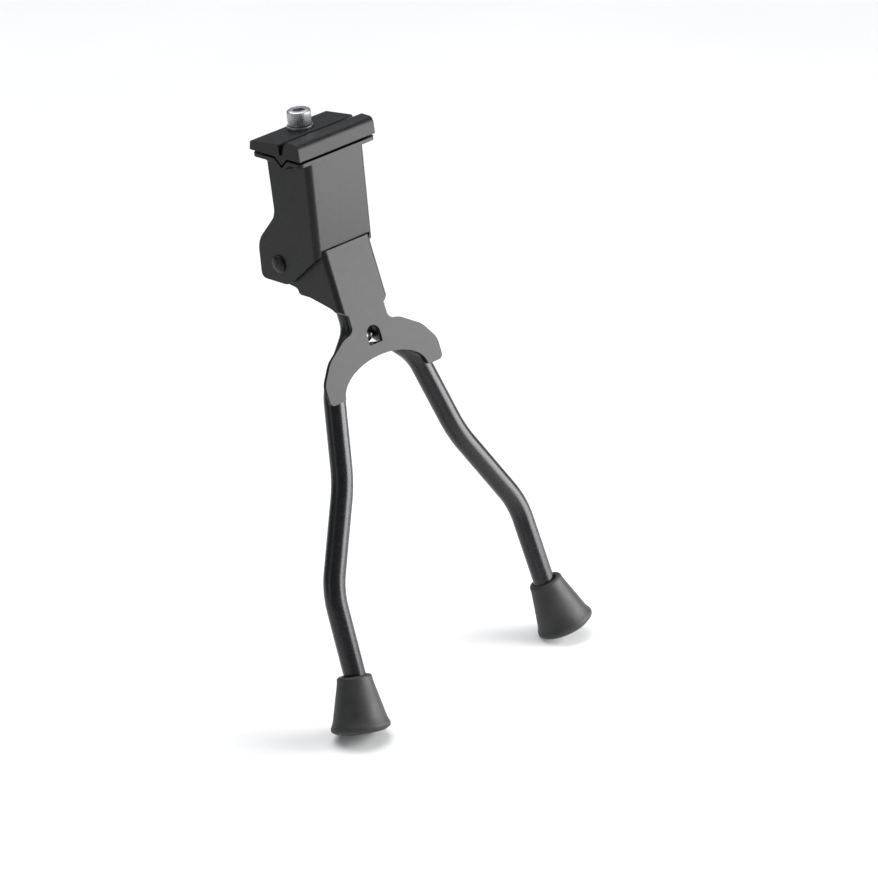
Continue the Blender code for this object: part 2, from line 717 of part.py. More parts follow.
def bent_path(corners, step=math.radians(6)):
    """Centreline through corners, each (x, y, z, bend radius)."""
    path = []
    for index, (x, y, z, radius) in enumerate(corners):
        here = Vector((x, y, z))
        if radius <= 0:
            path.append(here)
            continue
        before = (Vector(corners[index - 1][:3]) - here).normalized()
        after = (Vector(corners[index + 1][:3]) - here).normalized()
        half = before.angle(after) / 2
        reach = radius / math.tan(half)
        middle = (before + after).normalized()
        centre = here + middle * (radius / math.sin(half))
        first = here + before * reach - centre
        last = here + after * reach - centre
        turn = first.angle(last)
        pieces = max(2, math.ceil(turn / step))
        for piece in range(pieces + 1):
            share = piece / pieces
            mix = first * math.sin((1 - share) * turn) + last * math.sin(share * turn)
            path.append(centre + mix / math.sin(turn))
    return path


def rod_corners(sign):
    top = yoke_drop_of_pivot()
    y = -yoke_depth_of_pivot() + ROD_DEPTH
    plan = [
        (6.15, 34.5, 0.0),
        (6.15, 47.0, 16.0),
        (30.3, 72.2, 30.0),
        (42.4, 121.1, 75.0),
        (69.4, 172.3, 45.0),
        (72.8, 239.5, 0.0),
    ]
    return [(sign * x * MM, y, top - down * MM, radius * MM) for x, down, radius in plan]


def leg_rods(holder):
    for side, sign in (("left", -1), ("right", 1)):
        path = bent_path(rod_corners(sign))
        rod = place("leg_rod_" + side, tube(path, ROD_RADIUS, 4))
        hang(finish_part(rod, BLACK_PAINT), holder)
        bead_radius = 1.5 * MM
        inset = ROD_RADIUS - FIT - bead_radius
        aside = math.sqrt((ROD_RADIUS + FIT + bead_radius) ** 2 - inset ** 2)
        y = -yoke_depth_of_pivot() + YOKE_SHEET + FIT + bead_radius
        bead_path = []
        points = [point for point in path if -72 * MM < point.z < -57.5 * MM]
        for here, following in zip(points, points[1:]):
            along = (following - here).normalized()
            outward = Vector((-along.z, 0.0, along.x)) * sign
            bead_path.append(Vector((here.x, y, here.z)) + outward * aside)
        bead = place("rod_weld_" + side, tube(bead_path, bead_radius, 1))
        hang(finish_part(bead, BLACK_PAINT), holder)


def rubber_feet(holder):
    top = yoke_drop_of_pivot()
    y = -yoke_depth_of_pivot() + ROD_DEPTH
    for side, sign in (("left", -1), ("right", 1)):
        foot = turned("rubber_foot_" + side, [
            (0.0, 0.0),
            (FOOT_TOP_RADIUS - 1.6 * MM, 0.0),
            (FOOT_TOP_RADIUS - 0.4 * MM, -0.6 * MM),
            (FOOT_TOP_RADIUS, -1.8 * MM),
            (FOOT_TOP_RADIUS + 0.2 * MM, -3.4 * MM),
            (FOOT_TOP_RADIUS + 1.0 * MM, -6.5 * MM),
            (FOOT_BOTTOM_RADIUS - 1.6 * MM, -FOOT_LENGTH + 6.5 * MM),
            (FOOT_BOTTOM_RADIUS - 0.5 * MM, -FOOT_LENGTH + 4.0 * MM),
            (FOOT_BOTTOM_RADIUS, -FOOT_LENGTH + 2.4 * MM),
            (FOOT_BOTTOM_RADIUS - 0.2 * MM, -FOOT_LENGTH + 1.0 * MM),
            (FOOT_BOTTOM_RADIUS - 1.4 * MM, -FOOT_LENGTH),
            (FOOT_BOTTOM_RADIUS - 3.4 * MM, -FOOT_LENGTH - SOLE_CROWN),
            (0.0, -FOOT_LENGTH - SOLE_CROWN),
        ], 28)
        foot.location = (sign * FOOT_TOP_X, y, top - FOOT_TOP_DOWN)
        foot.rotation_euler = (0.0, -sign * FOOT_SPLAY, 0.0)
        finish_part(hang(foot, holder), RUBBER)
        path = bent_path(rod_corners(sign))
        end = path[-1] + (path[-1] - path[-2]).normalized() * FIT
        start = path[-2].lerp(path[-1], 0.3)
        bore = place("foot_bore_" + side, tube([start, end], ROD_RADIUS + FIT, 4), CUTTERS)
        hang(bore, holder)
        cut(foot, bore)


def build():
    clear_scene()
    seat_plate()
    upper_clamp_plate()
    clamp_hardware()
    bracket_channel()
    seat_welds()
    pivot_rivets()
    spring_anchor_bar()
    fold_axis = mounting("fold_axis", (0.0, PIVOT_Y, PIVOT_Z), -LEAN)
    hang(leg_yoke(), fold_axis)
    for cutter in bpy.data.collections[CUTTERS].objects:
        if cutter.name.startswith("yoke_"):
            hang(cutter, fold_axis)
    leg_rods(fold_axis)
    rubber_feet(fold_axis)
    swing_axis = mounting("swing_axis", (0.0, PIVOT_Y, PIVOT_Z + ANCHOR_RISE), -spring_swing())
    hang(over_centre_spring(), swing_axis)


build()
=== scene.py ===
"""Looks of the bicycle double-leg kickstand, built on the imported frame."""

import math

import bmesh
import bpy
from mathutils import Matrix, Vector


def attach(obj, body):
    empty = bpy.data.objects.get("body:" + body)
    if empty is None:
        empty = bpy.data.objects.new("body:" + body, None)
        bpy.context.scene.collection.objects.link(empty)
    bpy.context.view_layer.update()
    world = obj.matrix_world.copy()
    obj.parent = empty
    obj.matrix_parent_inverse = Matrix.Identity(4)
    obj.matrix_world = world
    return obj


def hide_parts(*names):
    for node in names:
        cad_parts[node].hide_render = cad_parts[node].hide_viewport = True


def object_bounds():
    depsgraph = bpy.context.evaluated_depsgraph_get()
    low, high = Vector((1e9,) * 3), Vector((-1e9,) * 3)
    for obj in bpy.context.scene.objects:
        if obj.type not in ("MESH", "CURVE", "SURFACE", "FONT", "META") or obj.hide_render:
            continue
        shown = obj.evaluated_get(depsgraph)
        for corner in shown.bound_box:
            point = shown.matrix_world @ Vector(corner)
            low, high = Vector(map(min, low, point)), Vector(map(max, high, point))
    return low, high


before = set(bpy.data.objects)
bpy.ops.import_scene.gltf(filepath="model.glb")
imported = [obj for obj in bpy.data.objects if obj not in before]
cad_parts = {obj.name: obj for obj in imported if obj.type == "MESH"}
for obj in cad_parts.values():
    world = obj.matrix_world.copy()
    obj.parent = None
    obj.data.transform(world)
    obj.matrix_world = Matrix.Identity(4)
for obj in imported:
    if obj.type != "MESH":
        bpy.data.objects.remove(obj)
cad_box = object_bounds()

MM = 0.001
FIT = 0.3 * MM
TURN = 2 * math.pi

# Clamp
BOLT_RADIUS = 4.0 * MM
BOLT_LENGTH = 40.0 * MM
HEAD_RADIUS = 6.5 * MM
HEAD_HEIGHT = 8.0 * MM
SOCKET_FLATS = 6.0 * MM
SOCKET_DEPTH = 4.5 * MM
THREAD_PITCH = 1.25 * MM
THREAD_DEPTH = 0.55 * MM
HOLE_RADIUS = 4.5 * MM
WASHER_RADIUS = 7.2 * MM
WASHER_THICKNESS = 1.6 * MM
NUT_FLATS = 13.0 * MM
NUT_HEIGHT = 6.5 * MM
PLATE_HALF_WIDTH = 27.3 * MM
PLATE_CORNER = 3.0 * MM
SEAT_THICKNESS = 2.0 * MM
SEAT_FRONT = -28.6 * MM
SEAT_REAR = 9.6 * MM
GROOVE_FRONT = -18.3 * MM
GROOVE_BOTTOM = -13.6 * MM
GROOVE_REAR = -8.0 * MM
GROOVE_DEPTH = 4.6 * MM
PLATE_GAP = 1.3 * MM
UPPER_REAR_TOP = 6.6 * MM
UPPER_GROOVE_TOP = 8.7 * MM
UPPER_RIDGE_TOP = 10.9 * MM
UPPER_REAR = 11.2 * MM
SEATING_HEIGHT = 7.4 * MM

# Bracket
BRACKET_FRONT = -27.0 * MM
BRACKET_HALF_WIDTH = 20.6 * MM
BRACKET_SHEET = 2.6 * MM
BRACKET_BEND = 3.6 * MM
BRACKET_WALL_BOTTOM = -52.0 * MM
CHEEK_BOTTOM = -76.0 * MM
CHEEK_REAR = 20.3 * MM
CHEEK_WAIST = 5.0 * MM

# Fold hinge and spring
PIVOT_Y = 5.0 * MM
PIVOT_Z = -65.0 * MM
RIVET_RADIUS = 3.5 * MM
RIVET_HEAD_RADIUS = 4.9 * MM
RIVET_HEAD_HEIGHT = 2.0 * MM
RIVET_INNER = 11.6 * MM
RIVET_WASHER = 1.2 * MM
ANCHOR_RISE = 13.0 * MM
ANCHOR_RADIUS = 2.0 * MM
SPRING_WIRE = 1.1 * MM
SPRING_MEAN_RADIUS = 4.6 * MM
SPRING_TURNS = 11
COIL_TOP = 8.5 * MM
COIL_BOTTOM = 38.0 * MM
HOOK_RADIUS = 5.2 * MM
HOOK_BEHIND_RODS = 0.5 * MM
HOOK_SWEEP = math.radians(148)
SHANK_BEND = 5.0 * MM
CROTCH_DOWN = 51.0 * MM

# Yoke, rods and feet
LEAN = math.radians(16.5)
YOKE_TOP_Y = -28.0 * MM
YOKE_TOP_Z = -52.5 * MM
YOKE_SHEET = 2.2 * MM
YOKE_HALF_WIDTH = 17.2 * MM
YOKE_BEND = 3.0 * MM
CHANNEL_END = 37.0 * MM
NECK_HALF_WIDTH = 12.8 * MM
ARM_HALF_WIDTH = 41.3 * MM
ARM_END = 78.7 * MM
ARCH_HALF_WIDTH = 30.3 * MM
ARCH_TOP = 63.2 * MM
HOOK_HOLE_HALF_WIDTH = 4.8 * MM
HOOK_HOLE_TOP = 46.4 * MM
HOOK_HOLE_BOTTOM = 56.6 * MM
TONGUE_HALF_WIDTH = 4.0 * MM
TONGUE_THICKNESS = 1.8 * MM
TONGUE_REACH = 14.0 * MM
EYE_RADIUS = 10.0 * MM
NOSE_RADIUS = 15.0 * MM
ROD_RADIUS = 6.0 * MM
ROD_DEPTH = YOKE_SHEET + FIT + ROD_RADIUS
FOOT_TOP_RADIUS = 9.6 * MM
FOOT_BOTTOM_RADIUS = 16.2 * MM
FOOT_LENGTH = 29.5 * MM
FOOT_TOP_X = 72.3 * MM
FOOT_TOP_DOWN = 219.0 * MM
FOOT_SPLAY = math.radians(11.5)
SOLE_CROWN = 0.7 * MM
SEAT_BEAD_RADIUS = 1.3 * MM
ROD_BEAD_RADIUS = 1.5 * MM
BEAD_LUMPS = 6
BEAD_LUMP_DEPTH = 0.16

back = PIVOT_Y - YOKE_TOP_Y
up = PIVOT_Z - YOKE_TOP_Z
YOKE_FRONT = up * math.sin(LEAN) - back * math.cos(LEAN)
YOKE_TOP = -back * math.sin(LEAN) - up * math.cos(LEAN)
ROD_PLANE = YOKE_FRONT + ROD_DEPTH
YOKE_FRAME = Matrix.Translation((0.0, PIVOT_Y, PIVOT_Z)) @ Matrix.Rotation(-LEAN, 4, "X")
SIDES = (("left", -1), ("right", 1))


# ---------------------------------------------------------------- materials

def shader_graph(name, colour, roughness, metallic=0.0, specular=0.5):
    material = bpy.data.materials.new(name)
    material.use_nodes = True
    shader = material.node_tree.nodes["Principled BSDF"]
    shader.inputs["Base Color"].default_value = (*colour, 1.0)
    shader.inputs["Roughness"].default_value = roughness
    shader.inputs["Metallic"].default_value = metallic
    shader.inputs["Specular IOR Level"].default_value = specular
    return material, material.node_tree, shader


def add(tree, kind, inputs=(), **settings):
    node = tree.nodes.new(kind)
    for key, value in settings.items():
        setattr(node, key, value)
    for key, value in dict(inputs).items():
        if isinstance(value, bpy.types.NodeSocket):
            tree.links.new(value, node.inputs[key])
        else:
            node.inputs[key].default_value = value
    return node


def object_space(tree, stretch=(1.0, 1.0, 1.0)):
    coordinates = add(tree, "ShaderNodeTexCoord")
    mapping = add(tree, "ShaderNodeMapping", {"Vector": coordinates.outputs["Object"]})
    mapping.inputs["Scale"].default_value = stretch
    return mapping.outputs["Vector"]


def speckle(tree, vector, scale, detail=3.0, roughness=0.55):
    texture = add(tree, "ShaderNodeTexNoise", {
        "Vector": vector, "Scale": scale, "Detail": detail, "Roughness": roughness,
    })
    return texture.outputs["Fac"]


def spread(tree, value, low, high):
    """A 0 to 1 noise value stretched over low to high."""
    return add(tree, "ShaderNodeMapRange", {
        "Value": value, "From Min": 0.3, "From Max": 0.7, "To Min": low, "To Max": high,
    }).outputs["Result"]


def two_tone(tree, value, dark, light):
    ramp = add(tree, "ShaderNodeValToRGB", {"Fac": value})
    ramp.color_ramp.elements[0].position = 0.32
    ramp.color_ramp.elements[0].color = (*dark, 1.0)
    ramp.color_ramp.elements[1].position = 0.68
    ramp.color_ramp.elements[1].color = (*light, 1.0)
    return ramp.outputs["Color"]


def relief(tree, shader, layers):
    """Chained bumps, each (height, strength, distance)."""
    normal = None
    for height, strength, distance in layers:
        inputs = {"Height": height, "Strength": strength, "Distance": distance}
        if normal is not None:
            inputs["Normal"] = normal
        normal = add(tree, "ShaderNodeBump", inputs).outputs["Normal"]
    tree.links.new(normal, shader.inputs["Normal"])


def satin_paint(name, dark, light, rough_low, rough_high, gloss=0.26):
    """Black powder coat: fine orange peel, cloudy gloss, faint dust."""
    material, tree, shader = shader_graph(name, dark, rough_high, 0.0, gloss)
    space = object_space(tree)
    clouds = speckle(tree, space, 420.0, 4.0)
    peel = speckle(tree, space, 1300.0, 2.0)
    grit = speckle(tree, space, 4200.0, 2.0, 0.7)
    tree.links.new(two_tone(tree, clouds, dark, light), shader.inputs["Base Color"])
    tree.links.new(spread(tree, clouds, rough_low, rough_high), shader.inputs["Roughness"])
    relief(tree, shader, [(peel, 0.30, 0.00006), (grit, 0.25, 0.00002)])
    return material


def bare_metal(name, dark, light, rough_low, rough_high, brush=(1.0, 1.0, 1.0), stain=0.0):
    """Plated or oiled steel with brushed streaks and stain patches."""
    material, tree, shader = shader_graph(name, light, rough_high, 1.0, 0.5)
    streaks = speckle(tree, object_space(tree, brush), 1500.0, 4.0, 0.65)
    patches = speckle(tree, object_space(tree), 260.0 + stain, 5.0, 0.6)
    tree.links.new(two_tone(tree, patches, dark, light), shader.inputs["Base Color"])
    tree.links.new(spread(tree, patches, rough_low, rough_high), shader.inputs["Roughness"])
    relief(tree, shader, [(streaks, 0.35, 0.00003), (patches, 0.20, 0.00005)])
    return material


def moulded_rubber(name, dark, light):
    """Matt rubber with a fine mould grain and a dusty bloom."""
    material, tree, shader = shader_graph(name, dark, 0.6, 0.0, 0.4)
    space = object_space(tree)
    bloom = speckle(tree, space, 90.0, 5.0, 0.6)
    grain = speckle(tree, space, 2600.0, 3.0, 0.7)
    tree.links.new(two_tone(tree, bloom, dark, light), shader.inputs["Base Color"])
    tree.links.new(spread(tree, bloom, 0.44, 0.62), shader.inputs["Roughness"])
    relief(tree, shader, [(grain, 0.45, 0.00006), (bloom, 0.15, 0.0003)])
    return material


PAINT = satin_paint("black_powder_coat", (0.005, 0.005, 0.006), (0.012, 0.012, 0.013), 0.36, 0.42)
CAST_PAINT = satin_paint("black_paint_on_casting", (0.003, 0.003, 0.004), (0.010, 0.010, 0.011),
                         0.40, 0.50)
ROD_PAINT = satin_paint("black_rod_paint", (0.004, 0.004, 0.005), (0.008, 0.008, 0.009), 0.25, 0.29, 0.42)
ZINC = bare_metal("bright_zinc", (0.36, 0.37, 0.39), (0.66, 0.67, 0.69), 0.26, 0.42, (1, 1, 0.15))
STEEL = bare_metal("oiled_steel", (0.07, 0.07, 0.075), (0.14, 0.14, 0.145), 0.30, 0.48, stain=60.0)
DULL_PLATE = bare_metal("dull_plated_steel", (0.20, 0.20, 0.21), (0.34, 0.34, 0.35), 0.38, 0.52)
SPRING_STEEL = bare_metal("spring_steel", (0.16, 0.16, 0.165), (0.26, 0.26, 0.265), 0.28, 0.42)
RUBBER = moulded_rubber("foot_rubber", (0.016, 0.016, 0.016), (0.030, 0.030, 0.029))


# -------------------------------------------------------------- mesh tools

def new_object(name, mesh):
    mesh.name = name
    piece = bpy.data.objects.new(name, mesh)
    bpy.context.scene.collection.objects.link(piece)
    return piece


def clean(mesh):
    shell = bmesh.new()
    shell.from_mesh(mesh)
    bmesh.ops.remove_doubles(shell, verts=shell.verts, dist=0.002 * MM)
    bmesh.ops.recalc_face_normals(shell, faces=shell.faces)
    shell.to_mesh(mesh)
    shell.free()
    return mesh


def bake(piece):
    """Applies the piece's modifiers to its mesh."""
    graph = bpy.context.evaluated_depsgraph_get()
    graph.update()
    mesh = bpy.data.meshes.new_from_object(piece.evaluated_get(graph))
    piece.modifiers.clear()
    piece.data = mesh
    return piece


def blank(name, loops, low, high, u_axis, v_axis):
    """Flat blank: closed (u, v) loops, thick from low to high along u x v."""
    curve = bpy.data.curves.new(name, "CURVE")
    curve.dimensions = "2D"
    curve.fill_mode = "BOTH"
    curve.extrude = (high - low) / 2
    for loop in loops:
        spline = curve.splines.new("POLY")
        spline.points.add(len(loop) - 1)
        for point, (u, v) in zip(spline.points, loop):
            point.co = (u, v, 0.0, 1.0)
        spline.use_cyclic_u = True
    holder = bpy.data.objects.new(name, curve)
    bpy.context.scene.collection.objects.link(holder)
    graph = bpy.context.evaluated_depsgraph_get()
    graph.update()
    mesh = bpy.data.meshes.new_from_object(holder.evaluated_get(graph))
    bpy.data.objects.remove(holder, do_unlink=True)
    normal = Vector(u_axis).cross(Vector(v_axis))
    turn = Matrix((u_axis, v_axis, normal)).transposed().to_4x4()
    mesh.transform(Matrix.Translation(normal * (low + high) / 2) @ turn)
    return new_object(name, clean(mesh))


def side_blank(name, loop, left, right):
    return blank(name, [loop], left, right, (0, 1, 0), (0, 0, 1))


def front_blank(name, loops, near, far):
    return blank(name, loops, -far, -near, (1, 0, 0), (0, 0, 1))


def plan_blank(name, loop, bottom, top):
    return blank(name, [loop], bottom, top, (1, 0, 0), (0, 1, 0))


def rounded(corners, step=math.radians(8)):
    """Closed outline with each (u, v, radius) corner turned into an arc."""
    outline = []
    count = len(corners)
    for index, (u, v, radius) in enumerate(corners):
        here = Vector((u, v))
        before = Vector(corners[index - 1][:2]) - here
        after = Vector(corners[(index + 1) % count][:2]) - here
        if radius <= 0:
            outline.append((u, v))
            continue
        half = before.angle(after) / 2
        reach = radius / math.tan(half)
        start = here + before.normalized() * reach
        end = here + after.normalized() * reach
        middle = (before.normalized() + after.normalized()).normalized()
        centre = here + middle * (radius / math.sin(half))
        pieces = max(2, math.ceil((math.pi - 2 * half) / step))
        first = start - centre
        sweep = first.angle_signed(end - centre)
        for piece in range(pieces + 1):
            arm = first.copy()
            arm.rotate(Matrix.Rotation(-sweep * piece / pieces, 2))
            outline.append(tuple(centre + arm))
    return outline


def disc(radius, steps=64, centre=(0.0, 0.0), phase=0.5):
    points = []
    for step in range(steps):
        angle = TURN * (step + phase) / steps
        points.append((centre[0] + radius * math.cos(angle), centre[1] + radius * math.sin(angle)))
    return points


def boolean(piece, cutter, operation="DIFFERENCE"):
    modifier = piece.modifiers.new("boolean", "BOOLEAN")
    modifier.operation = operation
    modifier.solver = "EXACT"
    modifier.object = cutter
    bake(piece)
    bpy.data.objects.remove(cutter, do_unlink=True)
    return piece


def edge_break(piece, width, segments=3, angle=28):
    """Rounds the sharp edges, as tumbling and paint leave them."""
    clean(piece.data)
    bevel = piece.modifiers.new("edges", "BEVEL")
    bevel.width = width
    bevel.segments = segments
    bevel.limit_method = "ANGLE"
    bevel.angle_limit = math.radians(angle)
    bevel.use_clamp_overlap = True
    bevel.miter_outer = "MITER_ARC"
    return bake(piece)


def settle(piece, body, material, slot, *nodes):
    """Smooth shading, material, body and the CAD nodes the piece stands for."""
    piece.data.shade_smooth()
    piece.data.set_sharp_from_angle(angle=math.radians(38))
    even = piece.modifiers.new("even_normals", "WEIGHTED_NORMAL")
    even.keep_sharp = True
    even.weight = 80
    piece.data.materials.clear()
    piece.data.materials.append(material)
    for polygon in piece.data.polygons:
        polygon.material_index = 0
    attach(piece, body)
    if nodes:
        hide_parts(*nodes)
    return piece


def lathe(name, rows, count):
    """Turned piece about Z. A row is (radius, z); either may be a function of the angle."""
    shell = bmesh.new()
    rings = []
    for radius, z in rows:
        ring = []
        if radius == 0:
            ring.append(shell.verts.new((0.0, 0.0, z)))
        else:
            for step in range(count):
                angle = TURN * step / count
                r = radius(angle) if callable(radius) else radius
                height = z(angle) if callable(z) else z
                ring.append(shell.verts.new((r * math.cos(angle), r * math.sin(angle), height)))
        rings.append(ring)
    for upper, lower in zip(rings, rings[1:]):
        for step in range(count):
            after = (step + 1) % count
            if len(upper) == 1:
                shell.faces.new((upper[0], lower[step], lower[after]))
            elif len(lower) == 1:
                shell.faces.new((upper[step], lower[0], upper[after]))
            else:
                shell.faces.new((upper[step], lower[step], lower[after], upper[after]))
    mesh = bpy.data.meshes.new(name)
    shell.to_mesh(mesh)
    shell.free()
    return new_object(name, clean(mesh))


def sweep_tube(name, path, radius, count, caps=0.0):
    """Round bar along a path. radius may be a function of the share along it."""
    shell = bmesh.new()
    rings = []
    total = len(path) - 1
    tangent = (path[1] - path[0]).normalized()
    side = tangent.orthogonal().normalized()
    for index, here in enumerate(path):
        before = path[max(index - 1, 0)]
        after = path[min(index + 1, total)]
        tangent = (after - before).normalized()
        side = (side - tangent * side.dot(tangent)).normalized()
        across = tangent.cross(side)
        r = radius(index / total) if callable(radius) else radius
        ring = []
        for step in range(count):
            angle = TURN * step / count
            ring.append(shell.verts.new(here + (side * math.cos(angle) + across * math.sin(angle)) * r))
        rings.append((ring, here, tangent))
    for (near, *_), (far, *_) in zip(rings, rings[1:]):
        for step in range(count):
            after = (step + 1) % count
            shell.faces.new((near[step], near[after], far[after], far[step]))
    for (ring, here, tangent), sign in ((rings[0], -1), (rings[-1], 1)):
        inner = ring
        if caps > 0:
            inner = []
            for vert in ring:
                arm = vert.co - here
                lift = tangent * sign * caps * 0.6
                inner.append(shell.verts.new(here + arm * (1 - caps / arm.length) + lift))
            for step in range(count):
                after = (step + 1) % count
                shell.faces.new((ring[step], ring[after], inner[after], inner[step]))
        shell.faces.new(inner)
    mesh = bpy.data.meshes.new(name)
    shell.to_mesh(mesh)
    shell.free()
    return new_object(name, clean(mesh))


def bent_path(corners, step=math.radians(3), stride=0.0):
    """Centreline through corners, each (x, y, z, bend radius)."""
    path = []
    for index, (x, y, z, radius) in enumerate(corners):
        here = Vector((x, y, z))
        if radius <= 0:
            path.append(here)
            continue
        before = (Vector(corners[index - 1][:3]) - here).normalized()
        after = (Vector(corners[index + 1][:3]) - here).normalized()
        half = before.angle(after) / 2
        reach = radius / math.tan(half)
        middle = (before + after).normalized()
        centre = here + middle * (radius / math.sin(half))
        first = here + before * reach - centre
        last = here + after * reach - centre
        turn = first.angle(last)
        pieces = max(2, math.ceil(turn / step))
        for piece in range(pieces + 1):
            share = piece / pieces
            mix = first * math.sin((1 - share) * turn) + last * math.sin(share * turn)
            path.append(centre + mix / math.sin(turn))
    if stride <= 0:
        return path
    even = [path[0]]
    for here, following in zip(path, path[1:]):
        count = max(1, round((following - here).length / stride))
        even += [here.lerp(following, (k + 1) / count) for k in range(count)]
    return even


def hexagon(flats, phase=0.0):
    """Radius of a hexagon at an angle."""
    def radius(angle):
        local = (angle + phase) % (TURN / 6) - TURN / 12
        return flats / 2 / math.cos(local)
    return radius


def lumps(path_share, count, depth):
    return 1 + depth * abs(math.sin(math.pi * count * path_share)) - depth / 2


# ------------------------------------------------------------------ clamp

def upper_plate():
    low = PLATE_GAP
    profile = rounded([
        (SEAT_FRONT - 0.2 * MM, low, 0.5 * MM),
        (SEAT_FRONT + 0.4 * MM, UPPER_RIDGE_TOP - 0.2 * MM, 3.4 * MM),
        (-19.0 * MM, UPPER_RIDGE_TOP, 2.4 * MM),
        (-16.8 * MM, UPPER_GROOVE_TOP, 1.0 * MM),
        (GROOVE_BOTTOM - 0.9 * MM, low + 1.0 * MM, 0.5 * MM),
        (GROOVE_BOTTOM + 0.9 * MM, low + 1.0 * MM, 0.5 * MM),
        (-12.0 * MM, UPPER_GROOVE_TOP, 1.4 * MM),
        (UPPER_REAR - 1.0 * MM, UPPER_REAR_TOP, 1.6 * MM),
        (UPPER_REAR, low, 0.7 * MM),
        (GROOVE_REAR - 0.3 * MM, low, 1.0 * MM),
        (GROOVE_BOTTOM, low - GROOVE_DEPTH + 0.2 * MM, 1.2 * MM),
        (GROOVE_FRONT + 0.3 * MM, low, 1.0 * MM),
    ])
    half_width = PLATE_HALF_WIDTH - 0.2 * MM
    piece = side_blank("upper_jaw", profile, -half_width, half_width)
    seating = lathe("seating", [
        (0, 14 * MM), (WASHER_RADIUS + 0.5 * MM, 14 * MM),
        (WASHER_RADIUS + 0.5 * MM, SEATING_HEIGHT), (0, SEATING_HEIGHT),
    ], 96)
    boolean(piece, seating)
    boolean(piece, plan_blank("bolt_hole", disc(HOLE_RADIUS), -12 * MM, 14 * MM))
    edge_break(piece, 0.55 * MM)
    return settle(piece, "clamp_jaw", CAST_PAINT, "black_paint", "upper_clamp_plate")


def washer():
    low = SEATING_HEIGHT + FIT
    top = low + WASHER_THICKNESS
    piece = lathe("flat_washer", [
        (HOLE_RADIUS, low + 0.2 * MM),
        (HOLE_RADIUS, top - 0.2 * MM),
        (HOLE_RADIUS + 0.2 * MM, top),
        (WASHER_RADIUS - 0.5 * MM, top),
        (WASHER_RADIUS - 0.15 * MM, top - 0.12 * MM),
        (WASHER_RADIUS, top - 0.5 * MM),
        (WASHER_RADIUS, low + 0.2 * MM),
        (WASHER_RADIUS - 0.2 * MM, low),
        (HOLE_RADIUS + 0.2 * MM, low),
        (HOLE_RADIUS, low + 0.2 * MM),
    ], 96)
    return settle(piece, "clamp_jaw", DULL_PLATE, "dark_steel", "bolt_washer")


def cap_screw():
    low = SEATING_HEIGHT + WASHER_THICKNESS + 2 * FIT
    top = low + HEAD_HEIGHT
    tip = low - BOLT_LENGTH
    ridges = 36

    def knurl(radius, depth):
        def at(angle):
            wave = abs((angle * ridges / TURN) % 1.0 - 0.5) * 2
            return radius - depth * wave
        return at

    socket = hexagon(SOCKET_FLATS)
    rows = [
        (0, top - SOCKET_DEPTH - 1.2 * MM),
        (lambda a: socket(a) * 0.62, top - SOCKET_DEPTH - 0.5 * MM),
        (socket, top - SOCKET_DEPTH),
        (socket, top - 0.35 * MM),
        (lambda a: socket(a) * 1.10, top),
        (HEAD_RADIUS - 1.05 * MM, top),
        (HEAD_RADIUS - 0.75 * MM, top - 0.08 * MM),
        (HEAD_RADIUS - 0.35 * MM, top - 0.40 * MM),
        (knurl(HEAD_RADIUS - 0.10 * MM, 0.04 * MM), top - 0.75 * MM),
        (knurl(HEAD_RADIUS, 0.26 * MM), top - 1.0 * MM),
        (knurl(HEAD_RADIUS, 0.26 * MM), low + 1.1 * MM),
        (knurl(HEAD_RADIUS - 0.05 * MM, 0.08 * MM), low + 0.8 * MM),
        (HEAD_RADIUS - 0.10 * MM, low + 0.35 * MM),
        (HEAD_RADIUS - 0.40 * MM, low),
        (BOLT_RADIUS, low),
    ]
    smooth_to = low - 8.0 * MM
    rows.append((BOLT_RADIUS, smooth_to))

    def thread(z, fade):
        def at(angle):
            wave = abs((z / THREAD_PITCH - angle / TURN) % 1.0 - 0.5) * 2
            return BOLT_RADIUS - 0.03 * MM - THREAD_DEPTH * fade * wave
        return at

    steps = math.ceil((smooth_to - tip) / (THREAD_PITCH / 6))
    for step in range(1, steps + 1):
        z = smooth_to + (tip - smooth_to) * step / steps
        fade = min(1.0, step / 6)
        rows.append((thread(z, fade), z))
    rows[-1] = (BOLT_RADIUS - 0.9 * MM, tip)
    rows.append((0, tip))
    piece = lathe("cap_screw", rows, 144)
    return settle(piece, "clamp_screw", ZINC, "zinc", "clamp_bolt")


def hex_nut():
    top = -SEAT_THICKNESS - FIT
    low = top - NUT_HEIGHT
    outer = hexagon(NUT_FLATS, TURN / 12)

    def chamfered(limit):
        return lambda angle: min(outer(angle), limit)

    bore = BOLT_RADIUS + FIT
    piece = lathe("hex_nut", [
        (bore, top - 0.5 * MM),
        (bore + 0.5 * MM, top),
        (chamfered(NUT_FLATS / 2 - 0.1 * MM), top),
        (chamfered(NUT_FLATS / 2 + 0.35 * MM), top - 0.28 * MM),
        (chamfered(NUT_FLATS), top - 0.95 * MM),
        (chamfered(NUT_FLATS), low + 0.95 * MM),
        (chamfered(NUT_FLATS / 2 + 0.35 * MM), low + 0.28 * MM),
        (chamfered(NUT_FLATS / 2 - 0.1 * MM), low),
        (bore + 0.5 * MM, low),
        (bore, low + 0.5 * MM),
        (bore, top - 0.5 * MM),
    ], 96)
    return settle(piece, "bracket", STEEL, "dark_steel", "clamp_nut")


